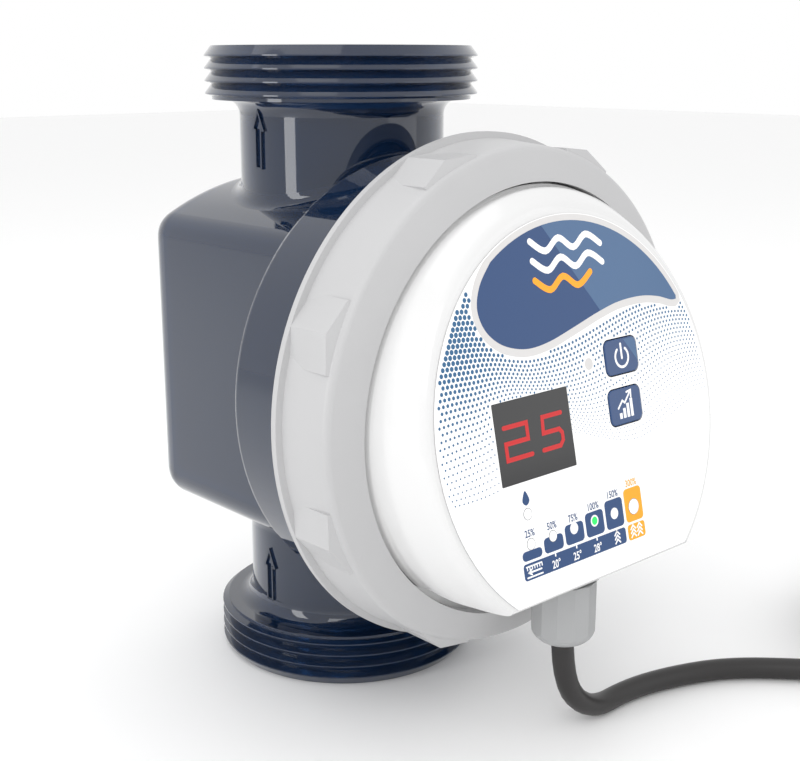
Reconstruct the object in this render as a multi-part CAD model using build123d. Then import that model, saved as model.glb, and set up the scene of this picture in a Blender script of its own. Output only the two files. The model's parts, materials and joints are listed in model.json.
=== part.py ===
"""Salt chlorine generator: a flow cell between two threaded ports, a screwed-on control head and its lead.

Units are millimetres. The origin is the centre of the lower port's end face, +Z runs up the flow
axis, and the head faces -Y. Each function below makes one sub-part, and main() writes one STEP each.
"""
from build123d import *
import os
from math import cos, hypot, pi, radians, sin, tan

# --- flow cell ---------------------------------------------------------------------------------
PORT_SPAN = 209.0  # end face to end face, along the flow axis
AXIS_Z = PORT_SPAN / 2  # height of the head's own axis, which runs along -Y
BORE_R = 30.0
NECK_R = 34.1
PORT_ROOT_R = 43.0
PORT_CREST_R = 45.2
PORT_THREAD_LENGTH = 17.0
PORT_PITCH = 4.0
NECK_FILLET = 5.0
WALL = 4.5  # cell wall
BOX_HALF_WIDTH = 49.0
BOX_REAR = 49.0  # behind the flow axis
BOX_FRONT = 37.0  # in front of it, inside the drum's rear wall
BOX_CROWN = 61.0  # arched top and bottom, above and below the head's axis
BOX_SHOULDER = 47.0  # where the arches meet the flat sides
BOX_EDGE_R = 9.0
BOX_REAR_R = 13.0
DRUM_R = 71.4
DRUM_BORE_R = 66.5
DRUM_REAR = 33.4
DRUM_REAR_WALL = 4.6
COLLAR_FRONT = 73.8  # sealing face of the collar, in front of the flow axis
COLLAR_THREAD_START = 65.0
COLLAR_CREST_R = 72.8
RING_PITCH = 4.0
ARROW_PROUD = 0.8

# --- lock ring ---------------------------------------------------------------------------------
RING_REAR = 63.7
RING_FRONT = 87.4
RING_RIM_R = 79.3
RING_RIM_WIDTH = 2.0
RING_SIDE_R = 77.4  # behind, next to the rim
RING_CORNER_R = 76.0  # at the front corner
RING_CORNER = 83.3
RING_LIP_R = 65.9
RING_LIP = 5.4
RING_BORE_R = 74.2
RING_THREAD_CREST_R = 73.2
LUG_COUNT = 8
LUG_FIRST_DEG = 22.5
LUG_HALF_DEG = 7.8
LUG_FRONT = 82.4

# --- head: stack along its axis ------------------------------------------------------------------
CLEAR = 0.3  # between neighbouring bodies
PLATE_REAR = COLLAR_FRONT + CLEAR
PLATE = 4.0
CASE_REAR = PLATE_REAR + PLATE
CASE_FLANGE = 2.5
FLANGE_R = 72.6
WASHER_REAR = CASE_REAR + CASE_FLANGE + CLEAR
WASHER = 0.8
SPIGOT_R = 66.2
SPIGOT_BORE_R = 62.6
SPIGOT_LENGTH = 6.5
DOME_BASE_R = 65.2
DOME_FACE_R = 61.0
DOME_START = 86.0
FACE_FRONT = 108.8  # tilted face, on the head's axis
TILT = 12.4  # degrees the face leans back
CASE_WALL = 2.6
UNDERSIDE = -47.3  # flat underside of the head, from its axis
FACE_EDGE_R = 1.6
FILM = 0.35
FILM_R = 59.6
FILM_DROP = 0.8  # film centre below the axis
FILM_FLAT = -46.0  # film's straight lower edge
SCREW_RING_R = 58.8
SCREW_ANGLES = (-30, 20, 65, 115, 160, 210)
BOSS_R = 4.2
BOSS_LENGTH = 12.0

# --- face: positions across (u) and up (v) on the tilted face ------------------------------------
WINDOW = (-22.3, -1.4, 30.8, 22.8)  # centre u, centre v, width, height
POWER_KEY = (19.0, 14.8, 15.0, 10.5)
LEVEL_KEY = (18.0, 0.0, 14.8, 10.7)
KEY_CORNER = 2.2
KEY_GAP = 0.35
KEY_PROUD = 0.25
KEY_TRAVEL = 0.4
LED_ROW_V = -30.3
LED_FIRST_U = -29.8
LED_PITCH = 9.1
LED_COUNT = 6
SINGLE_LEDS = ((-29.5, -21.9), (4.1, 14.7))
LED_R = 1.5
BOARD_W = -9.4  # front of the control board, behind the face
BOARD = 1.6
BOARD_BOX = (-2.0, -3.0, 86.0, 66.0)
BOARD_POSTS = ((-41, 26), (37, 26), (-41, -32), (37, -32))

# --- power board ---------------------------------------------------------------------------------
POWER_BOARD = (0.0, -13.0, 72.0, 42.0)
POWER_BOARD_REAR = CASE_REAR + 5.5
POWER_POSTS = ((-33.5, -30.5), (33.5, -30.5), (-33.5, 4.5), (33.5, 4.5))

# --- electrode -----------------------------------------------------------------------------------
ANODE_X = (-7.0, 7.0)
CATHODE_X = (-14.0, 0.0, 14.0)
BLADE = 1.0
BLADE_REAR = 2.0
BLADE_FRONT = 62.0
BLADE_HALF_HEIGHT = 30.0
TAB_FRONT = 66.0
TAB = (18.0, 26.0)
STUD_V = 22.0
STUD_R = 3.0
STUD_END = 90.0

# --- cable gland and lead ------------------------------------------------------------------------
GLAND_FRONT = 103.0
GLAND_NUT_R = 9.9
GLAND_NUT_TOP = UNDERSIDE - 4.4
GLAND_NUT_END = -72.0
CORD_R = 3.5
CORD_REST_Z = CORD_R + 0.05
COIL_CENTRE = (149.9, -150.2)
COIL_TURN_RADII = (31.5, 38.5)
COIL_LAYERS = 3  # full layers, with one more turn on the outer column
COIL_LIFT = 1.2
TIE_ANGLE = 240.0
CONNECTOR_R = 7.5
CONNECTOR_NECK = 14.0
CONNECTOR_BODY = 22.0
SHROUD = (6.2, 4.8, 8.0)  # outer radius, inner radius, length
CONTACT_R = 0.9
CONTACT_X = 2.2

LEAD_JOIN_Z = AXIS_Z + GLAND_NUT_END + 3.5  # the lead is straight above this, inside the gland
LEAD_TOP_Z = AXIS_Z + UNDERSIDE + 8.7
ROUTE = [
    (0.0, -GLAND_FRONT, LEAD_JOIN_Z),
    (0.0, -GLAND_FRONT, 17.5),
    (13.5, -104.0, CORD_REST_Z),
    (34.0, -103.0, CORD_REST_Z),
    (55.0, -108.5, CORD_REST_Z),
    (73.0, -117.5, CORD_REST_Z),
    (89.8, -134.6, CORD_REST_Z),
    (105.2, -154.2, CORD_REST_Z + 0.5),
    (118.7, -172.8, COIL_LIFT + CORD_R),
]
# The lead leaves the top turn on the coil's -Y side, heading +X, and bends left down to the connector:
# each point is (ahead, to the left, height).
TAIL = [(14.0, 0.4, 23.8), (28.5, 5.0, 18.3), (39.8, 14.6, 12.6), (47.0, 27.2, 8.8)]
TAIL += [(50.0, 41.4, CONNECTOR_R + 0.05), (50.0, 55.0, CONNECTOR_R + 0.05)]

HEAD = Pos(0, 0, AXIS_Z) * Rot(90, 0, 0)  # local x right, y up, z forward along -Y
FACE = HEAD * Pos(0, 0, FACE_FRONT) * Rot(-TILT, 0, 0)  # local z out of the tilted face
GLAND = Pos(0, -GLAND_FRONT, AXIS_Z)


def drum(radius, rear, front, x=0.0, y=0.0):
    """A cylinder along local z, from rear to front."""
    return Pos(x, y, (rear + front) / 2) * Cylinder(radius, front - rear)


def tube(outer, inner, rear, front, x=0.0, y=0.0):
    return drum(outer, rear, front, x, y) - drum(inner, rear - 1, front + 1, x, y)


def block(width, height, rear, front, x=0.0, y=0.0):
    return Pos(x, y, (rear + front) / 2) * Box(width, height, front - rear)


def hexagon(across_flats, rear, front, x=0.0, y=0.0):
    prism = extrude(RegularPolygon(across_flats / 2, 6, major_radius=False), front - rear)
    return Pos(x, y, rear) * prism


def tile(rect, rear, front, corner=0.0, grow=0.0):
    """A rounded rectangle on the face, given as centre and size, from rear to front."""
    u, v, width, height = rect
    size = (width + 2 * grow, height + 2 * grow)
    outline = RectangleRounded(*size, corner + grow) if corner + grow > 0 else Rectangle(*size)
    return Pos(u, v, rear) * extrude(outline, front - rear)


def spun(points):
    """A closed outline of (radius, height) points, turned about local z."""
    return revolve(Plane.XZ * make_face(Polyline(*points, close=True)), Axis.Z)


def ridges(root, crest, pitch, start, end):
    """Buttress thread outline as (radius, height) points: each ridge falls gently towards end."""
    points = []
    for k in range(int((end - start) / pitch + 1e-6)):
        top = end - k * pitch
        points += [(root, top), (crest, top - 0.72 * pitch), (crest, top - 0.82 * pitch)]
        points += [(root, top - pitch)]
    return sorted(set(points), key=lambda p: p[1])


def polar(radius, angle):
    return radius * cos(radians(angle)), radius * sin(radians(angle))


# --- flow cell -----------------------------------------------------------------------------------
def box_section(inset):
    half = BOX_HALF_WIDTH - inset
    crown = BOX_CROWN - inset
    shoulder = BOX_SHOULDER - inset
    return make_face(
        [
            ThreePointArc((-half, shoulder), (0, crown), (half, shoulder)),
            Line((half, shoulder), (half, -shoulder)),
            ThreePointArc((half, -shoulder), (0, -crown), (-half, -shoulder)),
            Line((-half, -shoulder), (-half, shoulder)),
        ]
    )


def box_body(inset, front):
    """The rear box, shrunk by inset; its long edges and its rear edges are rounded."""
    depth = BOX_REAR - inset + front
    body = Pos(0, 0, -(BOX_REAR - inset)) * extrude(box_section(inset), depth)
    body = fillet(body.edges().filter_by(Axis.Z), BOX_EDGE_R - inset / 2)
    return fillet(body.faces().sort_by(Axis.Z)[0].edges(), BOX_REAR_R - inset)


def port_outside():
    """Neck and threaded end of the upper port, about the flow axis."""
    flange_z = AXIS_Z - PORT_THREAD_LENGTH
    teeth = ridges(PORT_ROOT_R, PORT_CREST_R, PORT_PITCH, flange_z + 0.8, AXIS_Z)
    flange = spun([(0, flange_z), (PORT_ROOT_R, flange_z)] + teeth + [(0, AXIS_Z)])
    body = drum(NECK_R, 30, AXIS_Z - 1) + flange
    neck_edge = body.edges().filter_by(GeomType.CIRCLE).filter_by(
        lambda e: abs(e.radius - NECK_R) < 0.01 and abs(e.center().Z - flange_z) < 0.01
    )
    return fillet(neck_edge, NECK_FILLET)


def flow_arrow(z):
    """A raised outline arrow that points up, on the neck's -X side."""
    half, head, shaft, top, bottom = 3.2, 7.0, 1.7, 9.5, -9.5
    outline = [(0, top), (half, top - head), (shaft, top - head), (shaft, bottom)]
    outline += [(-u, v) for u, v in reversed(outline[1:])]
    face = make_face(Polyline(*outline, close=True))
    rim = face - offset(face, -0.6, kind=Kind.INTERSECTION)
    side = Plane(origin=(-NECK_R - 5, 0, z), x_dir=(0, -1, 0), z_dir=(-1, 0, 0))
    stamp = extrude(side * rim, -10)
    return stamp & (Pos(0, 0, z) * (Cylinder(NECK_R + ARROW_PROUD, 30) - Cylinder(NECK_R - 0.3, 30)))


def cell_housing():
    box = HEAD * box_body(0, BOX_FRONT)
    upper = Pos(0, 0, AXIS_Z) * port_outside()
    lower = Pos(0, 0, AXIS_Z) * Rot(180, 0, 0) * port_outside()
    body = box + upper + lower
    seam = body.edges().filter_by(
        lambda e: all(
            abs(hypot((e @ t).X, (e @ t).Y) - NECK_R) < 0.05
            and 45 < abs((e @ t).Z - AXIS_Z) < BOX_CROWN + 1
            for t in (0.1, 0.4, 0.7)
        )
    )
    body = fillet(seam, NECK_FILLET)
    teeth = ridges(DRUM_R, COLLAR_CREST_R, RING_PITCH, COLLAR_THREAD_START, COLLAR_FRONT - 0.6)
    barrel = spun([(0, DRUM_REAR), (DRUM_R, DRUM_REAR)] + teeth + [(DRUM_R, COLLAR_FRONT), (0, COLLAR_FRONT)])
    barrel = fillet(barrel.faces().sort_by(Axis.Z)[0].edges(), 3.0)
    body = body + HEAD * barrel
    body = body - HEAD * box_body(WALL, DRUM_REAR + DRUM_REAR_WALL + 1)
    body = body - HEAD * drum(DRUM_BORE_R, DRUM_REAR + DRUM_REAR_WALL, COLLAR_FRONT + 1)
    body = body - Pos(0, 0, AXIS_Z) * Cylinder(BORE_R, PORT_SPAN + 2)
    for z in (AXIS_Z + 75.5, AXIS_Z - 73.0):
        body = body + flow_arrow(z)
    return body


# --- lock ring and washer ------------------------------------------------------------------------
def lock_ring():
    side_start = RING_REAR + RING_RIM_WIDTH
    teeth = ridges(RING_BORE_R, RING_THREAD_CREST_R, RING_PITCH, RING_REAR + 2, CASE_REAR - 0.4)
    outline = [
        (RING_BORE_R, RING_REAR),
        (RING_RIM_R, RING_REAR),
        (RING_RIM_R, side_start),
        (RING_SIDE_R, side_start + 0.5),
        (RING_CORNER_R, RING_CORNER),
        (RING_LIP_R, RING_FRONT),
        (RING_LIP_R, RING_FRONT - RING_LIP),
        (RING_BORE_R, RING_FRONT - RING_LIP),
    ]
    body = spun(outline + teeth[::-1])
    corner = body.edges().filter_by(GeomType.CIRCLE).filter_by(
        lambda e: abs(e.radius - RING_CORNER_R) < 0.01
    )
    body = fillet(corner, 2.6)
    foot_out, foot_in = polar(RING_SIDE_R - 0.5, LUG_HALF_DEG), polar(RING_BORE_R + 1, LUG_HALF_DEG)
    wedge = [(RING_RIM_R, 0), foot_out, foot_in, (foot_in[0], -foot_in[1]), (foot_out[0], -foot_out[1])]
    lug = Pos(0, 0, side_start - 0.5) * extrude(
        make_face(Polyline(*wedge, close=True)), LUG_FRONT - side_start + 0.5
    )
    nose = spun(
        [(60, RING_REAR), (80, RING_REAR), (80, LUG_FRONT - 2.0), (75.4, LUG_FRONT), (60, LUG_FRONT)]
    )
    lug = lug & nose
    for k in range(LUG_COUNT):
        body = body + Rot(0, 0, LUG_FIRST_DEG + 360 / LUG_COUNT * k) * lug
    return HEAD * body


def slip_washer():
    return HEAD * tube(RING_BORE_R - 0.5, RING_LIP_R + 0.6, WASHER_REAR, WASHER_REAR + WASHER)


# --- head shell ------------------------------------------------------------------------------------
def dome(shrink, rear):
    """The head's rounded form, shrunk by shrink, from rear to the tilted face."""
    steps = (0.0, 0.35, 0.62, 0.82, 0.94, 1.0)
    depth = FACE_FRONT - shrink - DOME_START
    sections = []
    for t in steps:
        radius = DOME_FACE_R + (DOME_BASE_R - DOME_FACE_R) * (1 - t * t) ** 0.5 - shrink
        place = Pos(0, -FILM_DROP * t, DOME_START + depth * t) * Rot(-TILT * t, 0, 0)
        sections.append(place * make_face(CenterArc((0, 0), radius, 0, 360)))
    body = loft(sections) + drum(DOME_BASE_R - shrink, rear, DOME_START)
    below = Pos(0, UNDERSIDE + shrink - 50, (rear + 140) / 2) * Box(200, 100, 140 - rear)
    return body - below


def face_opening(rect, corner, grow):
    return FACE * tile(rect, -CASE_WALL - 2, 2, corner, grow)


def led_places():
    return [(LED_FIRST_U + LED_PITCH * k, LED_ROW_V) for k in range(LED_COUNT)] + list(SINGLE_LEDS)


def controller_case():
    outer = dome(0, CASE_REAR)
    face_z = FACE_FRONT - 12
    rim = outer.edges().filter_by(lambda e: e.center().Z > face_z and on_face(e))
    outer = fillet(rim, FACE_EDGE_R)
    flange = drum(FLANGE_R, CASE_REAR, CASE_REAR + CASE_FLANGE)
    body = HEAD * (outer + flange - dome(CASE_WALL, CASE_REAR - 1))
    boss_end = CASE_REAR + BOSS_LENGTH
    for angle in SCREW_ANGLES:
        body = body + HEAD * drum(BOSS_R, CASE_REAR, boss_end, *polar(SCREW_RING_R, angle))
    for angle in SCREW_ANGLES:
        body = body - HEAD * drum(1.3, CASE_REAR - 1, boss_end - 1, *polar(SCREW_RING_R, angle))
    body = body + [FACE * drum(3.0, BOARD_W, -CASE_WALL + 0.2, u, v) for u, v in BOARD_POSTS]
    body = body - [FACE * drum(1.1, BOARD_W - 1, -CASE_WALL - 1, u, v) for u, v in BOARD_POSTS]
    body = body - HEAD * tube(68.9, 67.1, CASE_REAR - 1, CASE_REAR + 1.7)
    body = body - face_opening(WINDOW, 0.3, 0.1)
    body = body - face_opening(POWER_KEY, KEY_CORNER, KEY_GAP)
    body = body - face_opening(LEVEL_KEY, KEY_CORNER, KEY_GAP)
    body = body - [FACE * drum(LED_R + 0.2, -CASE_WALL - 2, 2, u, v) for u, v in led_places()]
    return body - GLAND * Pos(0, 0, UNDERSIDE) * Cylinder(6.1, 12)


def on_face(edge):
    """Whether an edge of the dome lies in the tilted face, in the head's local frame."""
    lean = tan(radians(TILT))
    return all(abs((edge @ t).Z - (FACE_FRONT - (edge @ t).Y * lean)) < 0.6 for t in (0.1, 0.5, 0.9))


def face_film():
    disc = Pos(0, -FILM_DROP, FILM / 2) * Cylinder(FILM_R, FILM)
    film = disc - Pos(0, FILM_FLAT - FILM_DROP - 50, 0) * Box(200, 100, 5)
    film = film - tile(WINDOW, -1, 1, 0.3, 0.1)
    for key in (POWER_KEY, LEVEL_KEY):
        film = film - tile(key, -1, 1, KEY_CORNER, KEY_GAP)
    return FACE * film


def display_window():
    return FACE * tile(WINDOW, -1.8, FILM, 0.3)


def key_cap(rect):
    cap = tile(rect, -3.4, FILM + KEY_PROUD, KEY_CORNER)
    cap = fillet(cap.faces().sort_by(Axis.Z)[-1].edges(), 0.4)
    retainer = tile(rect, -4.2, -3.4, KEY_CORNER, 1.0)
    return FACE * (cap + retainer + drum(1.5, -4.5, -4.0, rect[0], rect[1]))


# --- electronics -----------------------------------------------------------------------------------
def control_board():
    board = tile(BOARD_BOX, BOARD_W - BOARD, BOARD_W, 4.0)
    return FACE * (board - [drum(1.3, BOARD_W - 3, BOARD_W + 1, u, v) for u, v in BOARD_POSTS])


def board_screws():
    shank = [drum(1.05, BOARD_W - BOARD, -4.0, u, v) for u, v in BOARD_POSTS]
    head = [drum(2.4, BOARD_W - BOARD - 1.6, BOARD_W - BOARD, u, v) for u, v in BOARD_POSTS]
    return [FACE * (s + h) for s, h in zip(shank, head)]


def display_module():
    u, v, width, height = WINDOW
    return FACE * block(width - 1.4, height - 1.4, BOARD_W, -2.1, u, v)


def indicator_leds():
    lamps = []
    for u, v in led_places():
        lamp = drum(LED_R + 0.2, BOARD_W, -CASE_WALL - 2.2, u, v) + drum(LED_R, BOARD_W, -0.2, u, v)
        lamps.append(FACE * lamp)
    return lamps


def key_switches():
    made = []
    for u, v, _, _ in (POWER_KEY, LEVEL_KEY):
        made.append(FACE * (block(6, 6, BOARD_W, -6.3, u, v) + drum(1.7, -6.4, -5.3, u, v)))
    return made


def power_board():
    u, v, width, height = POWER_BOARD
    board = block(width, height, POWER_BOARD_REAR, POWER_BOARD_REAR + BOARD, u, v)
    board = board - drum(7.5, POWER_BOARD_REAR - 1, POWER_BOARD_REAR + 3, 0, -STUD_V)
    return HEAD * (board - [drum(1.3, POWER_BOARD_REAR - 1, POWER_BOARD_REAR + 3, *p) for p in POWER_POSTS])


def power_standoffs():
    made = []
    for spot in POWER_POSTS:
        post = hexagon(5, CASE_REAR, POWER_BOARD_REAR, *spot)
        made.append(HEAD * (post - drum(1.1, CASE_REAR + 1, POWER_BOARD_REAR + 1, *spot)))
    return made


def power_screws():
    top = POWER_BOARD_REAR + BOARD
    return [HEAD * (drum(1.05, top - 5, top, *p) + drum(2.2, top, top + 1.5, *p)) for p in POWER_POSTS]


def power_transformer():
    top = POWER_BOARD_REAR + BOARD
    core = block(25, 21, top, top + 11.6, 18, -20)
    winding = block(17, 23.4, top + 1.5, top + 10, 18, -20)
    return HEAD * (fillet(core.edges().filter_by(Axis.Z), 1.0) + winding)


def power_capacitors():
    top = POWER_BOARD_REAR + BOARD
    made = []
    for v in (-10, -22):
        can = drum(5, top, top + 9.6, -24, v)
        made.append(HEAD * fillet(can.faces().sort_by(Axis.Z)[-1].edges(), 0.6))
    return made


def terminal_block():
    top = POWER_BOARD_REAR + BOARD
    body = block(20, 7.5, top, top + 7.6, 0, 1.0)
    return HEAD * (body - [drum(1.5, top + 4, top + 9, x, 1.0) for x in (-6.6, 0, 6.6)])


# --- cell plate and electrode ----------------------------------------------------------------------
def cell_plate():
    body = drum(FLANGE_R, PLATE_REAR, CASE_REAR)
    body = body + tube(SPIGOT_R, SPIGOT_BORE_R, PLATE_REAR - SPIGOT_LENGTH, PLATE_REAR + 0.5)
    body = body - tube(70.4, 68.0, PLATE_REAR - 1, PLATE_REAR + 2.2)
    for angle in SCREW_ANGLES:
        spot = polar(SCREW_RING_R, angle)
        body = body - drum(1.7, PLATE_REAR - 1, CASE_REAR + 1, *spot)
        body = body - drum(3.2, PLATE_REAR - 1, PLATE_REAR + 2.3, *spot)
    for v in (STUD_V, -STUD_V):
        body = body - drum(STUD_R + 0.1, PLATE_REAR - 1, CASE_REAR + 1, 0, v)
    return HEAD * body


def cell_screws():
    made = []
    for angle in SCREW_ANGLES:
        spot = polar(SCREW_RING_R, angle)
        head = drum(2.9, PLATE_REAR + 0.1, PLATE_REAR + 2.3, *spot)
        slot = hexagon(2.6, PLATE_REAR, PLATE_REAR + 1.3, *spot)
        made.append(HEAD * (head - slot + drum(1.25, PLATE_REAR + 2.2, CASE_REAR + 10, *spot)))
    return made


def o_ring(radius, section, height):
    return HEAD * Pos(0, 0, height) * Torus(radius, section)


def blade(x, tab_sign):
    """One electrode plate, edge on to the head, with the tab that joins its bar."""
    low, high = sorted((tab_sign * TAB[0], tab_sign * TAB[1]))
    depth = BLADE_FRONT - BLADE_REAR
    body = Pos(x, 0, BLADE_REAR + depth / 2) * Box(BLADE, 2 * BLADE_HALF_HEIGHT, depth)
    tab = block(BLADE, high - low, BLADE_FRONT, TAB_FRONT, x, (low + high) / 2)
    return HEAD * (fillet(body.edges().filter_by(Axis.X), 3.0) + tab)


def electrode_terminal(half_width, v):
    bar = block(2 * half_width, TAB[1] - TAB[0], TAB_FRONT, TAB_FRONT + 2, 0, v)
    stud = drum(STUD_R, TAB_FRONT + 1, STUD_END, 0, v) + drum(5.5, PLATE_REAR - 2.4, PLATE_REAR - 0.6, 0, v)
    return HEAD * (bar + stud)


def terminal_seals():
    return [HEAD * tube(5.5, STUD_R + 0.05, PLATE_REAR - 0.6, PLATE_REAR, 0, v) for v in (STUD_V, -STUD_V)]


def terminal_nuts():
    made = []
    for v in (STUD_V, -STUD_V):
        nut = hexagon(10, CASE_REAR, CASE_REAR + 5, 0, v)
        made.append(HEAD * (nut - drum(STUD_R + 0.02, CASE_REAR - 1, CASE_REAR + 6, 0, v)))
    return made


def plate_combs():
    made = []
    for v in (28.5, -28.5):
        comb = Pos(0, v, 24) * Box(36, 7, 8)
        for x in ANODE_X + CATHODE_X:
            reach = BLADE_HALF_HEIGHT + 0.05
            comb = comb - Pos(x, 0, 24) * Box(BLADE + 0.1, 2 * reach, 10)
        made.append(HEAD * comb)
    return made


# --- gland, lead, coil and connector ---------------------------------------------------------------
def gland_body():
    hexed = hexagon(18, UNDERSIDE - 4, UNDERSIDE)
    screwed = drum(6.0, UNDERSIDE, UNDERSIDE + 7.6) + drum(7.4, UNDERSIDE - 11, UNDERSIDE - 3.9)
    core = drum(CORD_R + 0.1, -70, -30) + drum(5.3, UNDERSIDE - 12, UNDERSIDE - 3)
    return GLAND * (hexed + screwed - core)


def gland_locknut():
    low = UNDERSIDE + CASE_WALL
    return GLAND * (hexagon(15.5, low, low + 4) - drum(6.05, low - 1, low + 5))


def gland_seal():
    return GLAND * tube(5.25, CORD_R + 0.02, UNDERSIDE - 11, UNDERSIDE - 3)


def gland_nut():
    """Cap nut with a domed end, hollow over the gland's threaded neck."""
    shell = drum(GLAND_NUT_R, GLAND_NUT_END, GLAND_NUT_TOP)
    shell = fillet(shell.faces().sort_by(Axis.Z)[0].edges(), 5.0)
    shell = fillet(shell.faces().sort_by(Axis.Z)[-1].edges(), 0.6)
    grip = extrude(RegularPolygon(GLAND_NUT_R - 0.35, 12, major_radius=False), 40)
    shell = shell & (Pos(0, 0, GLAND_NUT_END - 5) * grip)
    hollow = drum(7.45, UNDERSIDE - 11.3, GLAND_NUT_TOP + 1) + drum(CORD_R + 0.05, -80, -50)
    return GLAND * (shell - hollow)


def lead_entry():
    """The straight stretch of the lead that runs through the gland into the case."""
    return Pos(0, -GLAND_FRONT, 0) * drum(CORD_R, LEAD_JOIN_Z, LEAD_TOP_Z)


def along(start, end):
    return tuple(b - a for a, b in zip(start, end))


def corner_radii(points):
    """The largest tangent arc that each corner's two runs allow: 0.45 of the shorter run."""
    radii = []
    for before, here, after in zip(points, points[1:], points[2:]):
        arriving, leaving = Vector(*along(before, here)), Vector(*along(here, after))
        turn = radians(arriving.get_angle(leaving))
        radii.append(0.45 * min(arriving.length, leaving.length) / tan(turn / 2))
    return radii


def cord(points, name):
    radii = corner_radii(points)
    path = FilletPolyline(*points, radius=radii)
    start = Plane(origin=path @ 0, z_dir=path % 0)
    body = sweep(start * Circle(CORD_R), path=path)
    expected = pi * CORD_R**2 * path.length
    print(name, "length", round(path.length, 1), "volume ratio", round(body.volume / expected, 4))
    print(name, "arc radii", [round(r, 1) for r in radii])
    return body


def coil_section():
    """The bundle's cross-section as (radius, height) points: the outer column is one turn higher."""
    inner, outer = COIL_TURN_RADII[0] - CORD_R, COIL_TURN_RADII[1] + CORD_R
    middle, step = (inner + outer) / 2, 2 * CORD_R
    low, top = COIL_LIFT, COIL_LIFT + step * (COIL_LAYERS + 1)
    return [(inner, low), (outer, low), (outer, top), (middle, top), (middle, top - step), (inner, top - step)]


def cord_coil():
    ring = spun(coil_section())
    return Pos(*COIL_CENTRE, 0) * fillet(ring.edges().filter_by(GeomType.CIRCLE), 2.0)


def coil_tie():
    """A strap once round the bundle, standing clear of it by the strap's own play."""
    corners = coil_section()
    del corners[4]
    section = Plane.XZ * make_face(Polyline(*corners, close=True))
    strap = extrude(offset(section, 1.1) - offset(section, 0.25), 4, both=True)
    return Pos(*COIL_CENTRE, 0) * Rot(0, 0, TIE_ANGLE) * strap


def tail_points():
    x, y = COIL_CENTRE[0], COIL_CENTRE[1] - COIL_TURN_RADII[1]
    top = COIL_LIFT + CORD_R * (2 * COIL_LAYERS + 1)
    return [(x, y, top)] + [(x + ahead, y + left, z) for ahead, left, z in TAIL]


def connector_frame():
    """Local z runs from the lead into the connector; its origin is the end of the connector's neck."""
    before, start = tail_points()[-2:]
    heading = along(before, start)
    return Plane(origin=start, x_dir=(-heading[1], heading[0], 0), z_dir=heading).location


def connector_body():
    """Moulded body with a tapered neck, finger grooves and an open shroud round the contacts."""
    shoulder = CONNECTOR_NECK + CONNECTOR_BODY
    outside, inside, length = SHROUD
    body = drum(CONNECTOR_R, CONNECTOR_NECK, shoulder)
    body = fillet(body.faces().sort_by(Axis.Z)[0].edges(), 0.8)
    body = body + Pos(0, 0, CONNECTOR_NECK / 2) * Cone(4.2, 6.6, CONNECTOR_NECK)
    for k in range(4):
        z = CONNECTOR_NECK + 5 + 3.6 * k
        body = body - tube(CONNECTOR_R + 1, CONNECTOR_R - 0.7, z, z + 1.6)
    body = body + tube(outside, inside, shoulder - 1, shoulder + length)
    body = body - [drum(CONTACT_R, shoulder - 4, shoulder + 1, x) for x in (-CONTACT_X, CONTACT_X)]
    return connector_frame() * body


def connector_contacts():
    shoulder = CONNECTOR_NECK + CONNECTOR_BODY
    made = []
    for x in (-CONTACT_X, CONTACT_X):
        pin = drum(CONTACT_R, shoulder - 4, shoulder + SHROUD[2] - 1, x)
        made.append(connector_frame() * fillet(pin.faces().sort_by(Axis.Z)[-1].edges(), 0.5))
    return made


def connector_seal():
    shoulder = CONNECTOR_NECK + CONNECTOR_BODY
    return connector_frame() * tube(SHROUD[0] + 1.0, SHROUD[0], shoulder, shoulder + 1.6)


def write(name, shape):
    solids = shape if isinstance(shape, list) else [shape]
    export_step(Compound(children=[s for item in solids for s in item.solids()]), f"parts/{name}.step")


def main():
    os.makedirs("parts", exist_ok=True)
    write("cell_housing", cell_housing())
    write("lock_ring", lock_ring())
    write("slip_washer", slip_washer())
    write("controller_case", controller_case())
    write("face_film", face_film())
    write("display_window", display_window())
    write("power_key", key_cap(POWER_KEY))
    write("level_key", key_cap(LEVEL_KEY))
    write("control_board", control_board())
    write("board_screws", board_screws())
    write("display_module", display_module())
    write("indicator_leds", indicator_leds())
    write("key_switches", key_switches())
    write("power_board", power_board())
    write("power_standoffs", power_standoffs())
    write("power_screws", power_screws())
    write("power_transformer", power_transformer())
    write("power_capacitors", power_capacitors())
    write("terminal_block", terminal_block())
    write("cell_plate", cell_plate())
    write("cell_screws", cell_screws())
    write("cell_gasket", o_ring(69.2, 1.05, PLATE_REAR + 1.1))
    write("case_gasket", o_ring(68.0, 0.8, CASE_REAR + 0.85))
    write("anode_plates", [blade(x, 1) for x in ANODE_X])
    write("cathode_plates", [blade(x, -1) for x in CATHODE_X])
    write("anode_terminal", electrode_terminal(9.5, STUD_V))
    write("cathode_terminal", electrode_terminal(16.5, -STUD_V))
    write("terminal_seals", terminal_seals())
    write("terminal_nuts", terminal_nuts())
    write("plate_combs", plate_combs())
    write("gland_body", gland_body())
    write("gland_locknut", gland_locknut())
    write("gland_seal", gland_seal())
    write("gland_nut", gland_nut())
    write("lead_entry", lead_entry())
    write("supply_cord", cord(ROUTE, "supply_cord"))
    write("cord_coil", cord_coil())
    write("coil_tie", coil_tie())
    write("cord_tail", cord(tail_points(), "cord_tail"))
    write("connector_body", connector_body())
    write("connector_contacts", connector_contacts())
    write("connector_seal", connector_seal())


main()
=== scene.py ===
"""Looks of a salt chlorine generator: navy cell, grey ring, white head with a printed face, and its lead.

Metres, in the frame's own axes: +Z up the flow axis, the head faces -Y, the floor is z = 0. The face's
print is given in millimetres across (u) and up (v) on the tilted face, with w out of it.
"""

import bpy
import json
import math
from mathutils import Matrix, Vector
from mathutils.geometry import tessellate_polygon


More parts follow.
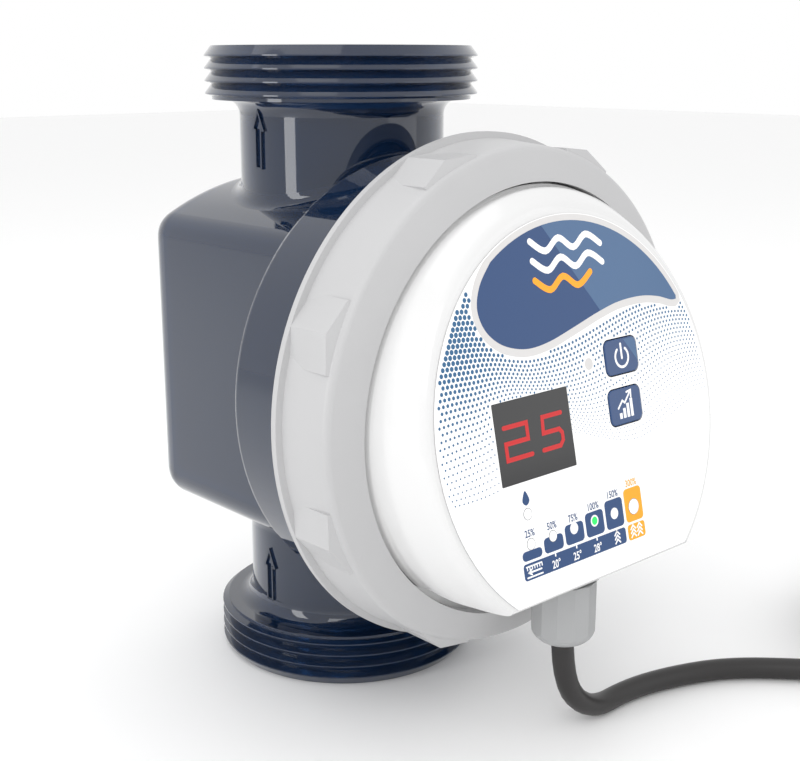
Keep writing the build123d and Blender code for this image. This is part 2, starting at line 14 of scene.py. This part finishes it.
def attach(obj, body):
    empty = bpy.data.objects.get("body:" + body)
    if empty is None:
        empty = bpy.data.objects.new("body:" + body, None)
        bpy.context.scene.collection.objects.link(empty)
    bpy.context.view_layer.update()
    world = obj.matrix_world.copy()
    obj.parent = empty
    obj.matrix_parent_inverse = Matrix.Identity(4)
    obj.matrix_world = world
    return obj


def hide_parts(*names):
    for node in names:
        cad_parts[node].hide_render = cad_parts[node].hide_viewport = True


MM = 0.001
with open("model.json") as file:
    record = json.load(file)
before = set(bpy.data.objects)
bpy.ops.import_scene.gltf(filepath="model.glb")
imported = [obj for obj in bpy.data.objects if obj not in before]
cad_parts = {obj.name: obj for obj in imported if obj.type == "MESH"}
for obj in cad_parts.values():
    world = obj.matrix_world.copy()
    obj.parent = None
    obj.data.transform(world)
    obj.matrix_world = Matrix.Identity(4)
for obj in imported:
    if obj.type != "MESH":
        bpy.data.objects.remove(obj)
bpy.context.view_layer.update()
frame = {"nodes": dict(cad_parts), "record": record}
nodes = frame["nodes"]

# --- camera --------------------------------------------------------------------------------------
VIEW_AZIMUTH, VIEW_ELEVATION = -42.21, 14.21  # degrees
VIEW_DISTANCE = 0.4473
VIEW_TARGET = Vector((0.0128, -0.0148, 0.0954))
LENS, SENSOR = 57.4, 36.0  # millimetres


def add_camera():
    a, e = math.radians(VIEW_AZIMUTH), math.radians(VIEW_ELEVATION)
    back = Vector((math.sin(a) * math.cos(e), -math.cos(a) * math.cos(e), math.sin(e)))
    data = bpy.data.cameras.new("camera")
    data.lens, data.sensor_width, data.sensor_fit = LENS, SENSOR, "HORIZONTAL"
    data.clip_start, data.clip_end = 0.01, 20.0
    camera = bpy.data.objects.new("camera", data)
    camera.location = VIEW_TARGET + back * VIEW_DISTANCE
    camera.rotation_mode = "QUATERNION"
    camera.rotation_quaternion = (-back).to_track_quat("-Z", "Y")
    bpy.context.scene.collection.objects.link(camera)
    bpy.context.scene.camera = camera


# --- cord -----------------------------------------------------------------------------------------
CORD_R = 3.5
REST_Z = 3.55
ROUTE = [
    (0.0, -103.0, 36.0),
    (0.0, -103.0, 17.5),
    (13.5, -104.0, REST_Z),
    (34.0, -103.0, REST_Z),
    (55.0, -108.5, REST_Z),
    (73.0, -117.5, REST_Z),
    (89.8, -134.6, REST_Z),
    (105.2, -154.2, REST_Z + 0.5),
]
COIL_CENTRE = (149.9, -150.2)
OUTER_TURN, INNER_TURN = 38.5, 31.5
COIL_LIFT = 1.2
COIL_ENTRY, COIL_EXIT = 215.9, 270.0  # degrees round the coil's centre
TURN_POINTS = 20
# Places of the turns in the bundle, as (radius, layer), from the turn that the lead enters.
TURNS = [(OUTER_TURN, 0), (INNER_TURN, 0), (INNER_TURN, 1), (OUTER_TURN, 1)]
TURNS += [(OUTER_TURN, 2), (INNER_TURN, 2), (OUTER_TURN, 3)]
CONNECTOR_REST = 7.55
# From the coil's last point: (ahead, to the left, height), heading +X.
TAIL = [(14.0, 0.4, 23.8), (28.5, 5.0, 18.3), (39.8, 14.6, 12.6), (47.0, 27.2, 8.8)]
TAIL += [(50.0, 41.4, CONNECTOR_REST), (50.0, 55.0, CONNECTOR_REST)]


def coil_points():
    """The turns, one after another: each moves to its next place near its end, the last one first."""
    points, shift = [], 0.1
    total = len(TURNS) - 1 + (COIL_EXIT - COIL_ENTRY) / 360
    count = round(total * TURN_POINTS)
    for k in range(count + 1):
        turned = total * k / count
        stage = min(int(turned), len(TURNS) - 1)
        starts = 1 - shift * (stage + 1)
        moved = min(max((turned - stage - starts) / shift, 0.0), 1.0)
        here, there = TURNS[stage], TURNS[min(stage + 1, len(TURNS) - 1)]
        radius = here[0] + (there[0] - here[0]) * moved
        layer = here[1] + (there[1] - here[1]) * moved
        angle = math.radians(COIL_ENTRY + 360 * turned)
        x, y = COIL_CENTRE[0] + radius * math.cos(angle), COIL_CENTRE[1] + radius * math.sin(angle)
        points.append((x, y, COIL_LIFT + CORD_R + 2 * CORD_R * layer))
    return points


def tail_points(leave):
    return [(leave[0] + ahead, leave[1] + left, z) for ahead, left, z in TAIL]


def add_cord():
    coil = coil_points()
    points = ROUTE + coil + tail_points(coil[-1])
    curve = bpy.data.curves.new("power_lead", "CURVE")
    curve.dimensions = "3D"
    curve.bevel_depth, curve.bevel_resolution, curve.resolution_u = 1.0, 5, 6  # scaled by each point's radius
    curve.use_fill_caps = True
    spline = curve.splines.new("NURBS")
    spline.points.add(len(points) - 1)
    for point, place in zip(spline.points, points):
        point.co = (*(c * MM for c in place), 1.0)
        point.radius = CORD_R * MM
    spline.use_endpoint_u = True
    spline.order_u = 3
    lead = bpy.data.objects.new("power_lead", curve)
    bpy.context.scene.collection.objects.link(lead)
    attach(lead, "head")
    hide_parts("supply_cord", "cord_coil", "cord_tail")
    return lead


# --- materials ------------------------------------------------------------------------------------
def srgb(r, g, b):
    """Linear colour of an 8-bit screen colour."""
    levels = (c / 255 for c in (r, g, b))
    return tuple(((c + 0.055) / 1.055) ** 2.4 if c > 10 / 255 else c / 12.92 for c in levels) + (1.0,)


def shifted(color, factor):
    return tuple(min(c * factor, 1.0) for c in color[:3]) + (1.0,)


GRAIN_DEPTH = 0.00005


def material(name, color, roughness, tint=0.03, wander=0.04, grain=900.0, bump=0.05, **sockets):
    """Principled shader: colour and roughness wander a little, and a fine grain lifts the surface."""
    made = bpy.data.materials.new(name)
    made.use_nodes = True
    tree, shader = made.node_tree, made.node_tree.nodes["Principled BSDF"]
    place = tree.nodes.new("ShaderNodeTexCoord")
    fine = tree.nodes.new("ShaderNodeTexNoise")
    fine.inputs["Scale"].default_value = grain
    fine.inputs["Detail"].default_value = 4.0
    broad = tree.nodes.new("ShaderNodeTexNoise")
    broad.inputs["Scale"].default_value = 45.0
    for noise in (fine, broad):
        tree.links.new(place.outputs["Object"], noise.inputs["Vector"])
    if tint:
        mix = tree.nodes.new("ShaderNodeMix")
        mix.data_type = "RGBA"
        mix.inputs["A"].default_value = shifted(color, 1 - tint)
        mix.inputs["B"].default_value = shifted(color, 1 + tint)
        tree.links.new(broad.outputs["Fac"], mix.inputs["Factor"])
        tree.links.new(mix.outputs["Result"], shader.inputs["Base Color"])
    else:
        shader.inputs["Base Color"].default_value = color
    spread = tree.nodes.new("ShaderNodeMapRange")
    spread.inputs["To Min"].default_value = max(roughness - wander, 0.02)
    spread.inputs["To Max"].default_value = roughness + wander
    tree.links.new(broad.outputs["Fac"], spread.inputs["Value"])
    tree.links.new(spread.outputs["Result"], shader.inputs["Roughness"])
    lift = tree.nodes.new("ShaderNodeBump")
    lift.inputs["Strength"].default_value = bump
    lift.inputs["Distance"].default_value = GRAIN_DEPTH
    tree.links.new(fine.outputs["Fac"], lift.inputs["Height"])
    tree.links.new(lift.outputs["Normal"], shader.inputs["Normal"])
    for key, value in sockets.items():
        shader.inputs[key.replace("_", " ")].default_value = value
    return made


# The third colour, a lighter blue, is a painted highlight: it stands for light reflected by the glossy blue
# print, not for a printed colour.
NAVY, PRINT_BLUE, PAINTED_HIGHLIGHT_BLUE = srgb(20, 42, 78), srgb(27, 65, 114), srgb(67, 100, 139)
ORANGE, GREEN, WHITE = srgb(255, 165, 6), srgb(23, 223, 87), srgb(252, 252, 252)
DOT_BLUE, RIM_GREY, RED = srgb(30, 92, 135), srgb(211, 209, 208), srgb(179, 19, 23)


def make_materials():
    m = {}
    m["navy"] = material(
        "navy_translucent", srgb(26, 50, 84), 0.05, tint=0, wander=0.015, grain=400, bump=0.008,
        Transmission_Weight=0.6, IOR=1.49, Coat_Weight=0.6, Coat_Roughness=0.03,
    )
    m["ring"] = material("ring_grey", srgb(182, 182, 183), 0.42, grain=1800, bump=0.22)
    m["case"] = material(
        "case_white", srgb(218, 218, 218), 0.16, tint=0.01, bump=0.02, Coat_Weight=0.5, Coat_Roughness=0.08
    )
    m["film"] = material("film_white", WHITE, 0.22, tint=0, grain=2500, bump=0.04)
    m["window"] = material("display_smoked", srgb(46, 46, 47), 0.12, tint=0.02, bump=0.01)
    m["blue"] = material("print_blue", PRINT_BLUE, 0.2, tint=0.02, bump=0.03)
    # Painted highlight: a lighter blue for the reflection on the blue panel and on the power key.
    m["gloss"] = material("painted_highlight_blue", PAINTED_HIGHLIGHT_BLUE, 0.14, tint=0.02, bump=0.02)
    m["rim"] = material("print_grey", RIM_GREY, 0.25, tint=0.01, bump=0.02)
    m["dots"] = material("print_dots", DOT_BLUE, 0.3, tint=0.02, bump=0.02)
    m["orange"] = material("print_orange", ORANGE, 0.25, tint=0.02, bump=0.02)
    m["white"] = material("print_white", WHITE, 0.25, tint=0, bump=0.02)
    m["outline"] = material("print_outline", srgb(70, 74, 80), 0.3, tint=0.02, bump=0.02)
    m["key"] = material("key_blue", PRINT_BLUE, 0.18, tint=0.02, bump=0.03, Coat_Weight=0.3)
    m["red"] = material(
        "digit_red", RED, 0.3, tint=0, bump=0.01, Emission_Color=srgb(200, 16, 20), Emission_Strength=0.25
    )
    m["green"] = material(
        "lamp_green", GREEN, 0.2, tint=0, bump=0.01, Emission_Color=GREEN, Emission_Strength=0.6
    )
    m["gland"] = material("gland_grey", srgb(160, 161, 162), 0.34, grain=1500, bump=0.12)
    m["cord"] = material("cord_black", srgb(33, 31, 31), 0.42, tint=0.08, grain=1300, bump=0.25)
    m["plug"] = material("plug_black", srgb(30, 30, 31), 0.5, tint=0.06, grain=1600, bump=0.3)
    m["tie"] = material("tie_black", srgb(24, 24, 25), 0.5, tint=0.06, grain=2200, bump=0.4)
    m["nickel"] = material("pin_nickel", srgb(205, 200, 188), 0.2, tint=0.03, bump=0.05, Metallic=1.0)
    m["steel"] = material("steel", srgb(180, 180, 183), 0.3, tint=0.04, bump=0.1, Metallic=1.0)
    m["titanium"] = material(
        "titanium_coated", srgb(96, 92, 88), 0.45, tint=0.1, grain=2600, bump=0.4, Metallic=0.8
    )
    m["rubber"] = material("rubber_black", srgb(22, 22, 22), 0.6, tint=0.05, grain=1500, bump=0.2)
    m["board"] = material("board_green", srgb(24, 84, 48), 0.35, tint=0.08, grain=500, bump=0.1)
    m["moulded"] = material("moulded_black", srgb(26, 26, 27), 0.45, tint=0.05, bump=0.15)
    m["lens"] = material(
        "led_clear", srgb(226, 232, 226), 0.12, tint=0.02, bump=0.02, Transmission_Weight=0.3
    )
    m["tape"] = material("tape_yellow", srgb(214, 176, 70), 0.4, tint=0.06, grain=1200, bump=0.2)
    m["sleeve"] = material("sleeve_blue", srgb(34, 40, 62), 0.25, tint=0.05, bump=0.05)
    m["terminal"] = material("terminal_green", srgb(56, 140, 78), 0.4, tint=0.04, bump=0.1)
    m["plate"] = material("plate_grey", srgb(196, 197, 199), 0.4, grain=1500, bump=0.15)
    m["washer"] = material("washer_white", srgb(228, 228, 222), 0.3, bump=0.05)
    return m


SLOT_MATERIALS = {
    "cell_plastic": "navy", "ring_plastic": "ring", "case_plastic": "case", "film": "film",
    "window": "window", "key": "key", "circuit_board": "board", "component_black": "moulded",
    "led_body": "lens", "steel": "steel", "transformer_tape": "tape", "capacitor_sleeve": "sleeve",
    "terminal_green": "terminal", "plate_plastic": "plate", "rubber_black": "rubber", "titanium": "titanium",
    "gland_plastic": "gland", "washer_plastic": "washer", "cord_black": "cord", "tie": "tie",
    "plug_black": "plug", "pin_metal": "nickel",
}


def paint_frame(materials):
    """Each CAD node takes the material of its slot in the record."""
    for part in frame["record"]["subparts"]:
        mesh = nodes[part["node"]].data
        mesh.materials.clear()
        mesh.materials.append(materials[SLOT_MATERIALS[part["material_slot"]]])


# --- the printed face -----------------------------------------------------------------------------
TILT = 12.4  # degrees the face leans back
FACE_CENTRE = Vector((0.0, -0.1088, 0.1045))
FILM_TOP = 0.35
FILM_CENTRE_V, FILM_R = -0.8, 59.6
KEY_TOP = 0.6
LAYER = 0.025  # height of one coat of print
PRINT_FOOT = 0.3  # where the level bars, lamps and strip start, inside the film


def face_matrix():
    t = math.radians(TILT)
    turn = Matrix(((1, 0, 0), (0, math.sin(t), -math.cos(t)), (0, math.cos(t), math.sin(t))))
    return Matrix.Translation(FACE_CENTRE) @ turn.to_4x4() @ Matrix.Scale(MM, 4)


def spline_loop(points, steps=6, closed=True):
    """A smooth line through the points (Catmull-Rom)."""
    made, n = [], len(points)
    for i in range(n if closed else n - 1):
        if closed:
            a, b, c, d = (Vector(points[(i + k) % n]) for k in (-1, 0, 1, 2))
        else:
            a, b, c, d = (Vector(points[min(max(i + k, 0), n - 1)]) for k in (-1, 0, 1, 2))
        for s in range(steps):
            t = s / steps
            bend = (2 * a - 5 * b + 4 * c - d) * t**2 + (3 * b - a - 3 * c + d) * t**3
            made.append(tuple((2 * b + (c - a) * t + bend) / 2))
    return made if closed else made + [tuple(points[-1])]


def arc(cx, cy, radius, start, end, steps):
    spots = [math.radians(start + (end - start) * k / steps) for k in range(steps + 1)]
    return [(cx + radius * math.cos(a), cy + radius * math.sin(a)) for a in spots]


def circle(cx, cy, radius, steps=40):
    return arc(cx, cy, radius, 0, 360 * (1 - 1 / steps), steps - 1)


def rounded(u0, v0, u1, v1, corner):
    made = []
    for cx, cy, start in ((u1, v1, 0), (u0, v1, 90), (u0, v0, 180), (u1, v0, 270)):
        inner = (cx - corner if cx == u1 else cx + corner, cy - corner if cy == v1 else cy + corner)
        made += arc(*inner, corner, start, start + 90, 5)
    return made


def stroke(points, width):
    """The outline of a line with mitred turns and round ends."""
    points = [Vector(p) for p in points]
    half = width / 2
    sides = []
    for i, p in enumerate(points):
        before = (p - points[i - 1]).normalized() if i else None
        after = (points[i + 1] - p).normalized() if i + 1 < len(points) else None
        along = ((before or after) + (after or before)).normalized()
        across = Vector((-along.y, along.x))
        leg = before or after
        stretch = 1 / max(abs(across.dot(Vector((-leg.y, leg.x)))), 0.4)
        sides.append((p + across * half * stretch, p - across * half * stretch))
    left, right = [tuple(s[0]) for s in sides], [tuple(s[1]) for s in sides]
    first, last = points[1] - points[0], points[-1] - points[-2]
    end_turn = math.degrees(math.atan2(last.y, last.x))
    start_turn = math.degrees(math.atan2(first.y, first.x))
    end_cap = arc(*points[-1], half, end_turn + 90, end_turn - 90, 8)[1:-1]
    start_cap = arc(*points[0], half, start_turn - 90, start_turn - 270, 8)[1:-1]
    return left + end_cap + right[::-1] + start_cap


def relief(name, shapes, low, high, paint, body="head"):
    """Thin closed solids on the face. Each shape is a list of loops: its outline, then its holes."""
    vertices, faces = [], []
    for loops in shapes:
        base = len(vertices)
        flat = [Vector((u, v, 0)) for loop in loops for u, v in loop]
        count = len(flat)
        for w in (high, low):
            vertices += [(p.x, p.y, w) for p in flat]
        for a, b, c in tessellate_polygon([[Vector((u, v, 0)) for u, v in loop] for loop in loops]):
            turn = (flat[b] - flat[a]).cross(flat[c] - flat[a]).z
            if turn < 0:
                b, c = c, b
            faces.append((base + a, base + b, base + c))
            faces.append((base + count + c, base + count + b, base + count + a))
        start = 0
        for index, loop in enumerate(loops):
            n = len(loop)
            area = sum(loop[i - 1][0] * loop[i][1] - loop[i][0] * loop[i - 1][1] for i in range(n))
            forward = (area > 0) == (index == 0)
            for i in range(n):
                a, b = base + start + i, base + start + (i + 1) % n
                if not forward:
                    a, b = b, a
                faces.append((a, a + count, b + count, b))
            start += n
    return add_mesh(name, vertices, faces, face_matrix(), paint, body)


def add_mesh(name, vertices, faces, place, paint, body):
    mesh = bpy.data.meshes.new(name)
    mesh.from_pydata([tuple(place @ Vector(v)) for v in vertices], [], faces)
    mesh.validate()
    mesh.materials.append(paint)
    made = bpy.data.objects.new(name, mesh)
    bpy.context.scene.collection.objects.link(made)
    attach(made, body)
    return made


def words(name, text, u, v, height, top, paint, squeeze=0.82):
    """Numbers and signs printed on the face, centred on u with their foot at v."""
    font = bpy.data.curves.new(name, "FONT")
    font.body, font.align_x, font.size = text, "CENTER", height * 1.38
    font.resolution_u = 4
    font.extrude = LAYER
    font.offset = 0.02 * height
    source = bpy.data.objects.new(name + "_source", font)
    bpy.context.scene.collection.objects.link(source)
    bpy.context.view_layer.update()
    mesh = bpy.data.meshes.new_from_object(source.evaluated_get(bpy.context.evaluated_depsgraph_get()))
    bpy.data.objects.remove(source)
    mesh.name = name
    shape = Matrix.Translation((u, v, top - LAYER)) @ Matrix.Diagonal((squeeze, 1, 1, 1))
    mesh.transform(face_matrix() @ shape)
    mesh.materials.clear()
    mesh.materials.append(paint)
    made = bpy.data.objects.new(name, mesh)
    bpy.context.scene.collection.objects.link(made)
    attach(made, "head")
    return made


# Blue panel: an arc along the film's edge, then a smooth lower edge that swells and dips.
PANEL_R = 57.6
PANEL_LOWER = [
    (-35.6, 42.5), (-37.9, 36.6), (-36.7, 31.2), (-33.0, 27.0), (-27.5, 24.2), (-20.0, 22.8),
    (-11.0, 23.6), (0.0, 26.2), (11.0, 29.0), (21.0, 30.9), (31.5, 31.3), (40.0, 30.2), (46.2, 28.4),
]
# The painted highlight on the blue panel is the part of the panel to the left of this straight line.
HIGHLIGHT_EDGE = ((-12.1, 61.0), (12.3, 29.3))
RIM_WIDTH = 2.2


def panel_outline():
    upper = arc(0, FILM_CENTRE_V, PANEL_R, 31.5, 122, 30)
    lower = spline_loop([upper[-1]] + PANEL_LOWER + [(49.0, 28.3)], closed=False)
    return upper + lower[1:]


def grown(outline, by):
    """The outline moved out by a distance, for one that runs anticlockwise."""
    made, n = [], len(outline)
    for i, p in enumerate(outline):
        before, after = Vector(outline[i - 1]), Vector(outline[(i + 1) % n])
        along = (after - before).normalized()
        made.append((p[0] + by * along.y, p[1] - by * along.x))
    return made


def clipped(outline, a, b):
    """The part of the outline to the left of the line from a to b."""
    a, b = Vector(a), Vector(b)
    across = Vector((-(b - a).y, (b - a).x))
    made = []
    for i, p in enumerate(outline):
        p, q = Vector(outline[i - 1]), Vector(p)
        dp, dq = (p - a).dot(across), (q - a).dot(across)
        if (dp > 0) != (dq > 0):
            made.append(tuple(p + (q - p) * dp / (dp - dq)))
        if dq > 0:
            made.append(tuple(q))
    return made


def within_film(outline, margin):
    made = []
    for u, v in outline:
        reach = math.hypot(u, v - FILM_CENTRE_V)
        shrink = min(1.0, (FILM_R - margin) / reach)
        made.append((u * shrink, FILM_CENTRE_V + (v - FILM_CENTRE_V) * shrink))
    return made


def add_panel(m):
    outline = panel_outline()
    top = FILM_TOP + LAYER
    rim = within_film(grown(outline, RIM_WIDTH), 0.2)
    relief("panel_rim", [[rim]], FILM_TOP - 0.1, top, m["rim"])
    relief("blue_panel", [[outline]], FILM_TOP - 0.05, top + LAYER, m["blue"])
    # Painted highlight: the panel's part left of that line, in lighter blue, standing for a reflection on the
    # glossy film.
    relief("panel_gloss", [[clipped(outline, *HIGHLIGHT_EDGE)]], FILM_TOP, top + 1.5 * LAYER, m["gloss"])
    mark_top = top + 3 * LAYER
    for k, (v, paint) in enumerate(((50.5, "white"), (45.0, "white"), (39.5, "orange"))):
        crests = [(-14 + 6 * i, v + 1.6 * (-1) ** i) for i in range(6 if k < 2 else 5)]
        wave = spline_loop(crests, closed=False)
        relief(f"wave_mark_{k + 1}", [[stroke(wave, 1.9)]], top, mark_top, m[paint])


# --- halftone dots --------------------------------------------------------------------------------
DOT_PITCH, ROW_PITCH = 1.62, 1.36
WINDOW = (-22.3, -1.4, 30.8, 22.8)
POWER_KEY = (19.0, 14.8, 15.0, 10.5)
LEVEL_KEY = (18.0, 0.0, 14.8, 10.7)
POWER_SPOT = (4.1, 14.7)


def mixed(a, b, t):
    return a + (b - a) * t


def eased(low, high, x):
    t = min(max((x - low) / (high - low), 0.0), 1.0)
    return t * t * (3 - 2 * t)


def row_height(u, s):
    """Height of the dot row s (0 just under the panel, 1 the last) at u: a wave that drifts right."""
    drop = mixed(27.5, -6.0 - 6.0 * eased(-5, -45, u), s)
    phase = 2 * math.pi * (u - mixed(37.0, 57.0, s)) / mixed(112.0, 72.0, s)
    return drop + mixed(4.2, 4.0, s) * math.cos(phase) * (1 - 0.7 * eased(-20, -45, u))


def in_rect(u, v, rect, margin):
    return abs(u - rect[0]) < rect[2] / 2 + margin and abs(v - rect[1]) < rect[3] / 2 + margin


def inside(outline, u, v):
    hit = False
    for i, (x1, y1) in enumerate(outline):
        x0, y0 = outline[i - 1]
        if (y0 > v) != (y1 > v) and u < x0 + (x1 - x0) * (v - y0) / (y1 - y0):
            hit = not hit
    return hit


def add_dots(m):
    fence = grown(panel_outline(), RIM_WIDTH + 0.5)
    shapes = []
    for row in range(-14, 26):
        s = row * ROW_PITCH / 33.5
        for k in range(-38, 39):
            u = (k + 0.5 * (row % 2)) * DOT_PITCH
            v = row_height(u, s)
            shown = math.hypot(u, v - FILM_CENTRE_V) < FILM_R - 1.0 and not inside(fence, u, v)
            shown = shown and math.hypot(u - POWER_SPOT[0], v - POWER_SPOT[1]) > 2.4
            cut = in_rect(u, v, WINDOW, 0.4) or in_rect(u, v, POWER_KEY, 0.8) or in_rect(u, v, LEVEL_KEY, 0.8)
            if cut or not shown:
                continue
            size = mixed(0.76, 0.5, eased(-52, -22, u)) * (1 - 0.68 * eased(-0.1, 1.0, s))
            shapes.append([circle(u, v, size, 10)])
    relief("halftone_dots", shapes, FILM_TOP - 0.02, FILM_TOP + 0.5 * LAYER, m["dots"])


# --- level bars, lamps and the strip below --------------------------------------------------------
LED_FIRST, LED_PITCH, LED_V = -29.8, 9.1, -30.3
BAR_WIDTH, BAR_FOOT = 8.1, -34.6
BAR_TOPS = (-31.9, -30.2, -28.8, -27.5, -26.0, -24.5)
BAR_LABELS = ("25%", "50%", "75%", "100%", "150%", "300%")
STRIP_TOP, STRIP_FOOT = -35.3, -40.0
LAMP_R, LAST_LAMP_R = 1.55, 2.3
LAMP_EDGE = 0.14
LIT_GAP = 0.35
SALT_SPOT = (-29.5, -21.9)


def add_levels(m):
    first, second, third = FILM_TOP + LAYER, FILM_TOP + 2 * LAYER, FILM_TOP + 3 * LAYER
    for k, top in enumerate(BAR_TOPS):
        u, last, lit = LED_FIRST + LED_PITCH * k, k == 5, k == 3
        paint = m["orange" if last else "blue"]
        half = BAR_WIDTH / 2
        corner = min(1.3, (top - BAR_FOOT) / 2 - 0.05)
        bar = rounded(u - half, BAR_FOOT, u + half, top, corner)
        relief(f"level_bar_{k + 1}", [[bar]], PRINT_FOOT, first, paint)
        label_v = max(top, LED_V + LAMP_R) + 0.55
        words(f"level_number_{k + 1}", BAR_LABELS[k], u, label_v, 2.1, first, paint)
        radius = LAST_LAMP_R if last else LAMP_R
        edge = m["outline" if k in (0, 1, 5) else "white"]
        border = circle(u, LED_V, radius + LAMP_EDGE)
        relief(f"lamp_edge_{k + 1}", [[border]], PRINT_FOOT, second, edge)
        lens = circle(u, LED_V, radius if not lit else radius - LIT_GAP)
        relief(f"lamp_{k + 1}", [[lens]], PRINT_FOOT, third, m["green" if lit else "white"])
    salt_border = circle(*SALT_SPOT, LAMP_R + LAMP_EDGE)
    relief("salt_lamp_edge", [[salt_border]], PRINT_FOOT, second, m["outline"])
    relief("salt_lamp", [[circle(*SALT_SPOT, LAMP_R)]], PRINT_FOOT, third, m["white"])
    relief("power_lamp", [[circle(*POWER_SPOT, 1.75)]], PRINT_FOOT, second, m["rim"])
    drop = [(-29.5, -15.4), (-28.3, -17.3), (-28.2, -18.6), (-29.5, -19.5), (-30.8, -18.6), (-30.7, -17.3)]
    relief("salt_drop", [[spline_loop(drop)]], PRINT_FOOT, first, m["blue"])
    add_strip(m, first, second)


def add_strip(m, first, second):
    left, right = LED_FIRST - BAR_WIDTH / 2 - 0.2, LED_FIRST + 4 * LED_PITCH + BAR_WIDTH / 2
    strip = rounded(left, STRIP_FOOT, right, STRIP_TOP, 1.0)
    relief("blue_strip", [[strip]], PRINT_FOOT, first, m["blue"])
    last = LED_FIRST + 5 * LED_PITCH
    box = rounded(last - BAR_WIDTH / 2, STRIP_FOOT, last + BAR_WIDTH / 2, STRIP_TOP, 1.0)
    relief("orange_box", [[box]], PRINT_FOOT, first, m["orange"])
    for k, text in enumerate(("20°", "25°", "28°")):
        u = LED_FIRST + LED_PITCH * (k + 1)
        words(f"strip_number_{k + 1}", text, u, -39.3, 2.3, second, m["white"])
    tick_us = [LED_FIRST + LED_PITCH * k for k in (1, 2, 3, 4)]
    ticks = [[stroke([(u, -36.0), (u, -35.5)], 0.5)] for u in tick_us]
    relief("strip_ticks", ticks, PRINT_FOOT, second, m["white"])
    pool = [stroke([(-32.9, -36.2), (-26.7, -36.2)], 0.45), stroke([(-32.9, -39.2), (-26.7, -39.2)], 0.45)]
    steps = [stroke([(-32.6 + 1.0 * k, -36.2), (-32.6 + 1.0 * k, -37.1)], 0.35) for k in range(7)]
    arrow = [stroke([(-27.0, -37.9), (-32.0, -37.9)], 0.5)]
    arrow.append(stroke([(-31.0, -37.2), (-32.2, -37.9), (-31.0, -38.6)], 0.45))
    relief("strip_gauge", [[s] for s in pool + steps + arrow], PRINT_FOOT, second, m["white"])
    boost = []
    for u in (LED_FIRST + 4 * LED_PITCH, last - 1.5, last + 1.5):
        boost += [[stroke([(u - 1.1, v), (u, v + 1.1), (u + 1.1, v)], 0.5)] for v in (-39.2, -38.0, -36.8)]
    relief("boost_marks", boost, PRINT_FOOT, second, m["white"])


def add_keys(m):
    top = KEY_TOP + LAYER
    u, v = POWER_KEY[:2]
    ring = arc(u, v - 0.3, 3.0, 128, 412, 34)
    power = [[stroke(ring, 0.75)], [stroke([(u, v - 0.6), (u, v + 3.6)], 0.8)]]
    relief("power_symbol", power, KEY_TOP - 0.1, top, m["white"], "power_key")
    half, rise = POWER_KEY[2] / 2 - 0.4, POWER_KEY[3] / 2 - 0.4
    cap = rounded(u - half, v - rise, u + half, v + rise, 1.8)
    # Painted highlight: a lighter-blue wedge of the key cap, standing for a reflection on its glossy top.
    highlight_patch = clipped(cap, (u + 0.8, v + rise + 1), (u + half + 1, v - 3.5))
    highlight_top = KEY_TOP + 0.5 * LAYER
    relief("power_key_gloss", [[highlight_patch]], KEY_TOP - 0.1, highlight_top, m["gloss"], "power_key")
    u, v = LEVEL_KEY[:2]
    bars = []
    for k in range(4):
        left = u - 3.3 + 1.75 * k
        bars.append([rounded(left, v - 3.6, u - 2.1 + 1.75 * k, v - 1.9 + 1.25 * k, 0.1)])
    trend = [(u - 3.6, v - 0.4), (u - 1.4, v + 1.7), (u - 0.4, v + 0.9), (u + 2.2, v + 3.5)]
    head = [(u + 0.9, v + 3.9), (u + 2.9, v + 4.2), (u + 2.7, v + 2.2)]
    symbol = bars + [[stroke(trend, 0.6)], [stroke(head, 0.6)]]
    relief("level_symbol", symbol, KEY_TOP - 0.1, top, m["white"], "level_key")


def add_digits(m):
    two = [(-34.3, 3.0), (-25.2, 3.0), (-25.2, -1.5), (-34.2, -1.5), (-34.2, -6.0), (-24.3, -6.0)]
    five = [(-10.8, 3.2), (-18.6, 3.2), (-18.9, -1.3), (-12.2, -1.3)]
    five += [(-11.1, -2.5), (-11.1, -4.6), (-12.4, -6.0), (-19.6, -6.0)]
    for name, line in (("digit_two", two), ("digit_five", five)):
        relief(name, [[stroke(line, 1.3)]], FILM_TOP - 0.1, FILM_TOP + 2 * LAYER, m["red"])


# --- floor and light ------------------------------------------------------------------------------
def add_floor():
    bpy.ops.mesh.primitive_plane_add(size=8.0, location=(0, 0, -0.0002))
    floor = bpy.context.object
    floor.name = "floor"
    pale = (0.93, 0.93, 0.93, 1)
    floor.data.materials.append(material("floor_pale", pale, 0.6, tint=0.005, grain=60, bump=0.0))


def add_lamp(name, place, target, size, power, shape_y=None):
    data = bpy.data.lights.new(name, "AREA")
    data.shape = "RECTANGLE"
    data.size, data.size_y = size, shape_y or size
    data.energy = power
    lamp = bpy.data.objects.new(name, data)
    lamp.location = place
    lamp.rotation_mode = "QUATERNION"
    lamp.rotation_quaternion = (Vector(target) - Vector(place)).to_track_quat("-Z", "Y")
    bpy.context.scene.collection.objects.link(lamp)


def add_light():
    world = bpy.data.worlds.new("studio")
    world.use_nodes = True
    world.node_tree.nodes["Background"].inputs["Color"].default_value = (1, 1, 1, 1)
    world.node_tree.nodes["Background"].inputs["Strength"].default_value = 1.0
    bpy.context.scene.world = world
    centre = (0, -0.02, 0.1)
    add_lamp("key_light", (-0.75, -0.75, 0.95), centre, 0.7, 3.2)
    add_lamp("left_strip", (-1.0, 0.15, 0.35), centre, 0.25, 2.6, 0.9)
    add_lamp("front_fill", (0.6, -1.0, 0.5), centre, 0.9, 1.2)
    add_lamp("top_light", (0.0, 0.2, 1.1), centre, 0.9, 1.6)
    bpy.context.scene.view_settings.view_transform = "Standard"


add_camera()
lead = add_cord()
materials = make_materials()
paint_frame(materials)
lead.data.materials.append(materials["cord"])
add_panel(materials)
add_dots(materials)
add_levels(materials)
add_keys(materials)
add_digits(materials)
add_floor()
add_light()
